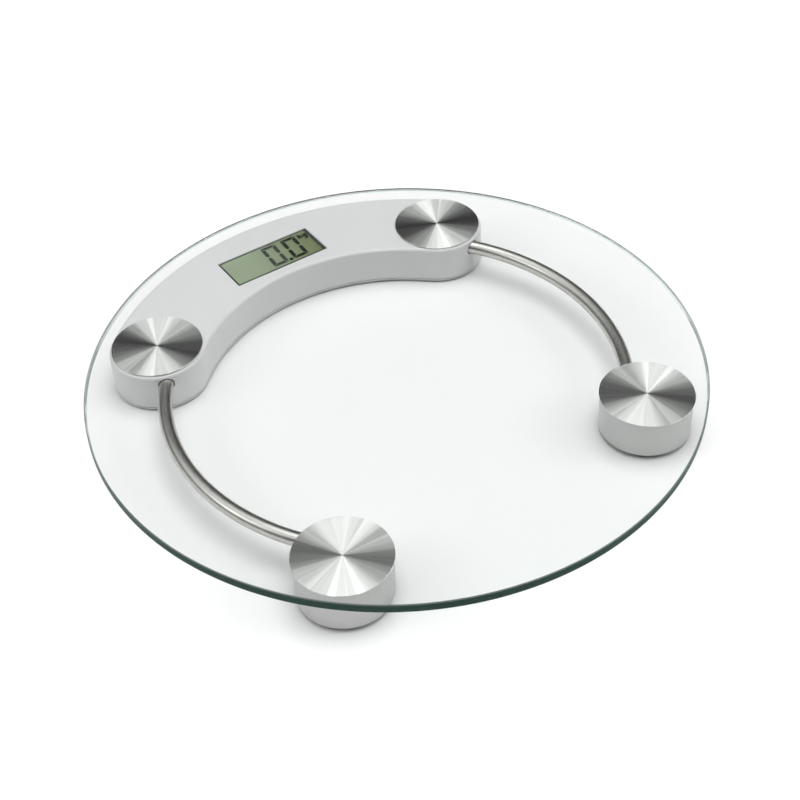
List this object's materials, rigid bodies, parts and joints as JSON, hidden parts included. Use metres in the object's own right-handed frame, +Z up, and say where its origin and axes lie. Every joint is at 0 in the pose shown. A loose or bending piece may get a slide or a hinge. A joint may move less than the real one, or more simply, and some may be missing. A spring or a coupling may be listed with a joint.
{
  "type": "digital bathroom scale",
  "caption": "Round glass bathroom scale with spun steel discs at its feet, a crescent display housing behind and two bent steel tubes.",
  "frame": {"origin": "on the floor under the centre of the glass, level with the undersides of the foot pads", "axes": "+Z up, +Y from the centre of the glass to the display housing at the rear, +X to the right of a person who stands at -Y and reads the display"},
  "size_m": [0.33, 0.33, 0.031],
  "materials": {
    "glass": "clear tempered glass, 6 mm, ground and polished green edge",
    "spun_steel": "spun-brushed stainless steel, fine concentric lines",
    "tube_steel": "polished and lightly brushed stainless steel tube",
    "white_plastic": "cool white moulded ABS, satin",
    "silver_plastic": "silver-grey moulded ABS, satin",
    "cell_steel": "stamped and nickel-plated sensor steel",
    "potting_silicone": "white silicone, soft sheen",
    "foot_plastic": "black moulded ABS, fine texture",
    "foot_rubber": "matt grey-black anti-slip rubber",
    "display_window": "clear acrylic, polished",
    "display_glass": "grey-green liquid-crystal panel behind clear glass",
    "board_laminate": "green solder mask on glass-fibre laminate",
    "component_black": "black epoxy and moulded plastic",
    "coin_cell_can": "nickel-plated steel can",
    "contact_spring": "nickel-plated spring brass",
    "screw_zinc": "zinc-plated steel",
    "wire_sleeve": "red vinyl sleeve"
  },
  "bodies": {
    "root": {"glass_platform": "glass", "disc_rear_right": "spun_steel", "disc_rear_left": "spun_steel", "disc_front_left": "spun_steel", "disc_front_right": "spun_steel", "tube_left": "tube_steel", "tube_right": "tube_steel", "housing_top": "white_plastic", "housing_base": "white_plastic", "pod_shell_front_left": "silver_plastic", "pod_shell_front_right": "silver_plastic", "load_cell_rear_right": "cell_steel", "load_cell_rear_left": "cell_steel", "load_cell_front_left": "cell_steel", "load_cell_front_right": "cell_steel", "gauge_potting_rear_right": "potting_silicone", "gauge_potting_rear_left": "potting_silicone", "gauge_potting_front_left": "potting_silicone", "gauge_potting_front_right": "potting_silicone", "connector_strip": "potting_silicone", "display_window": "display_window", "display_panel": "display_glass", "circuit_board": "board_laminate", "chip_potting": "component_black", "capacitor": "component_black", "unit_switch": "component_black", "coin_cell": "coin_cell_can", "contact_positive": "contact_spring", "contact_negative": "contact_spring", "base_screw_centre": "screw_zinc", "base_screw_inner_left": "screw_zinc", "base_screw_inner_right": "screw_zinc", "base_screw_outer_left": "screw_zinc", "base_screw_outer_right": "screw_zinc", "board_screw_1": "screw_zinc", "board_screw_2": "screw_zinc", "board_screw_3": "screw_zinc", "board_screw_4": "screw_zinc", "wires_rear_right": "wire_sleeve", "wires_rear_left": "wire_sleeve", "wires_front_left": "wire_sleeve", "wires_front_right": "wire_sleeve"},
    "foot_rear_right": {"foot_cup_rear_right": "foot_plastic", "foot_pad_rear_right": "foot_rubber"},
    "foot_rear_left": {"foot_cup_rear_left": "foot_plastic", "foot_pad_rear_left": "foot_rubber"},
    "foot_front_left": {"foot_cup_front_left": "foot_plastic", "foot_pad_front_left": "foot_rubber"},
    "foot_front_right": {"foot_cup_front_right": "foot_plastic", "foot_pad_front_right": "foot_rubber"},
    "battery_door": {"battery_door": "white_plastic"},
    "unit_button": {"unit_button": "silver_plastic"},
    "switch_plunger": {"switch_plunger": "component_black"}
  },
  "joints": [
    {"name": "foot_travel_rear_right", "type": "slide", "parent": "root", "child": "foot_rear_right", "axis": [0, 0, 1], "range_m": [0, 0.0005], "stiffness_N_per_m": 2000, "springref_m": -0.004},
    {"name": "foot_travel_rear_left", "type": "slide", "parent": "root", "child": "foot_rear_left", "axis": [0, 0, 1], "range_m": [0, 0.0005], "stiffness_N_per_m": 2000, "springref_m": -0.004},
    {"name": "foot_travel_front_left", "type": "slide", "parent": "root", "child": "foot_front_left", "axis": [0, 0, 1], "range_m": [0, 0.0005], "stiffness_N_per_m": 2000, "springref_m": -0.004},
    {"name": "foot_travel_front_right", "type": "slide", "parent": "root", "child": "foot_front_right", "axis": [0, 0, 1], "range_m": [0, 0.0005], "stiffness_N_per_m": 2000, "springref_m": -0.004},
    {"name": "battery_door_hinge", "type": "hinge", "parent": "root", "child": "battery_door", "pos_m": [0.0456, 0.138, 0.0027], "axis": [1, 0, 0], "range_deg": [0, 85]},
    {"name": "unit_button_press", "type": "slide", "parent": "root", "child": "unit_button", "axis": [0, 0, 1], "range_m": [0, 0.0005], "stiffness_N_per_m": 300},
    {"name": "switch_plunger_press", "type": "slide", "parent": "root", "child": "switch_plunger", "axis": [0, 0, 1], "range_m": [0, 0.0005]}
  ],
  "couplings": [
    {"joint": "switch_plunger_press", "follows": "unit_button_press", "ratio": 1}
  ]
}
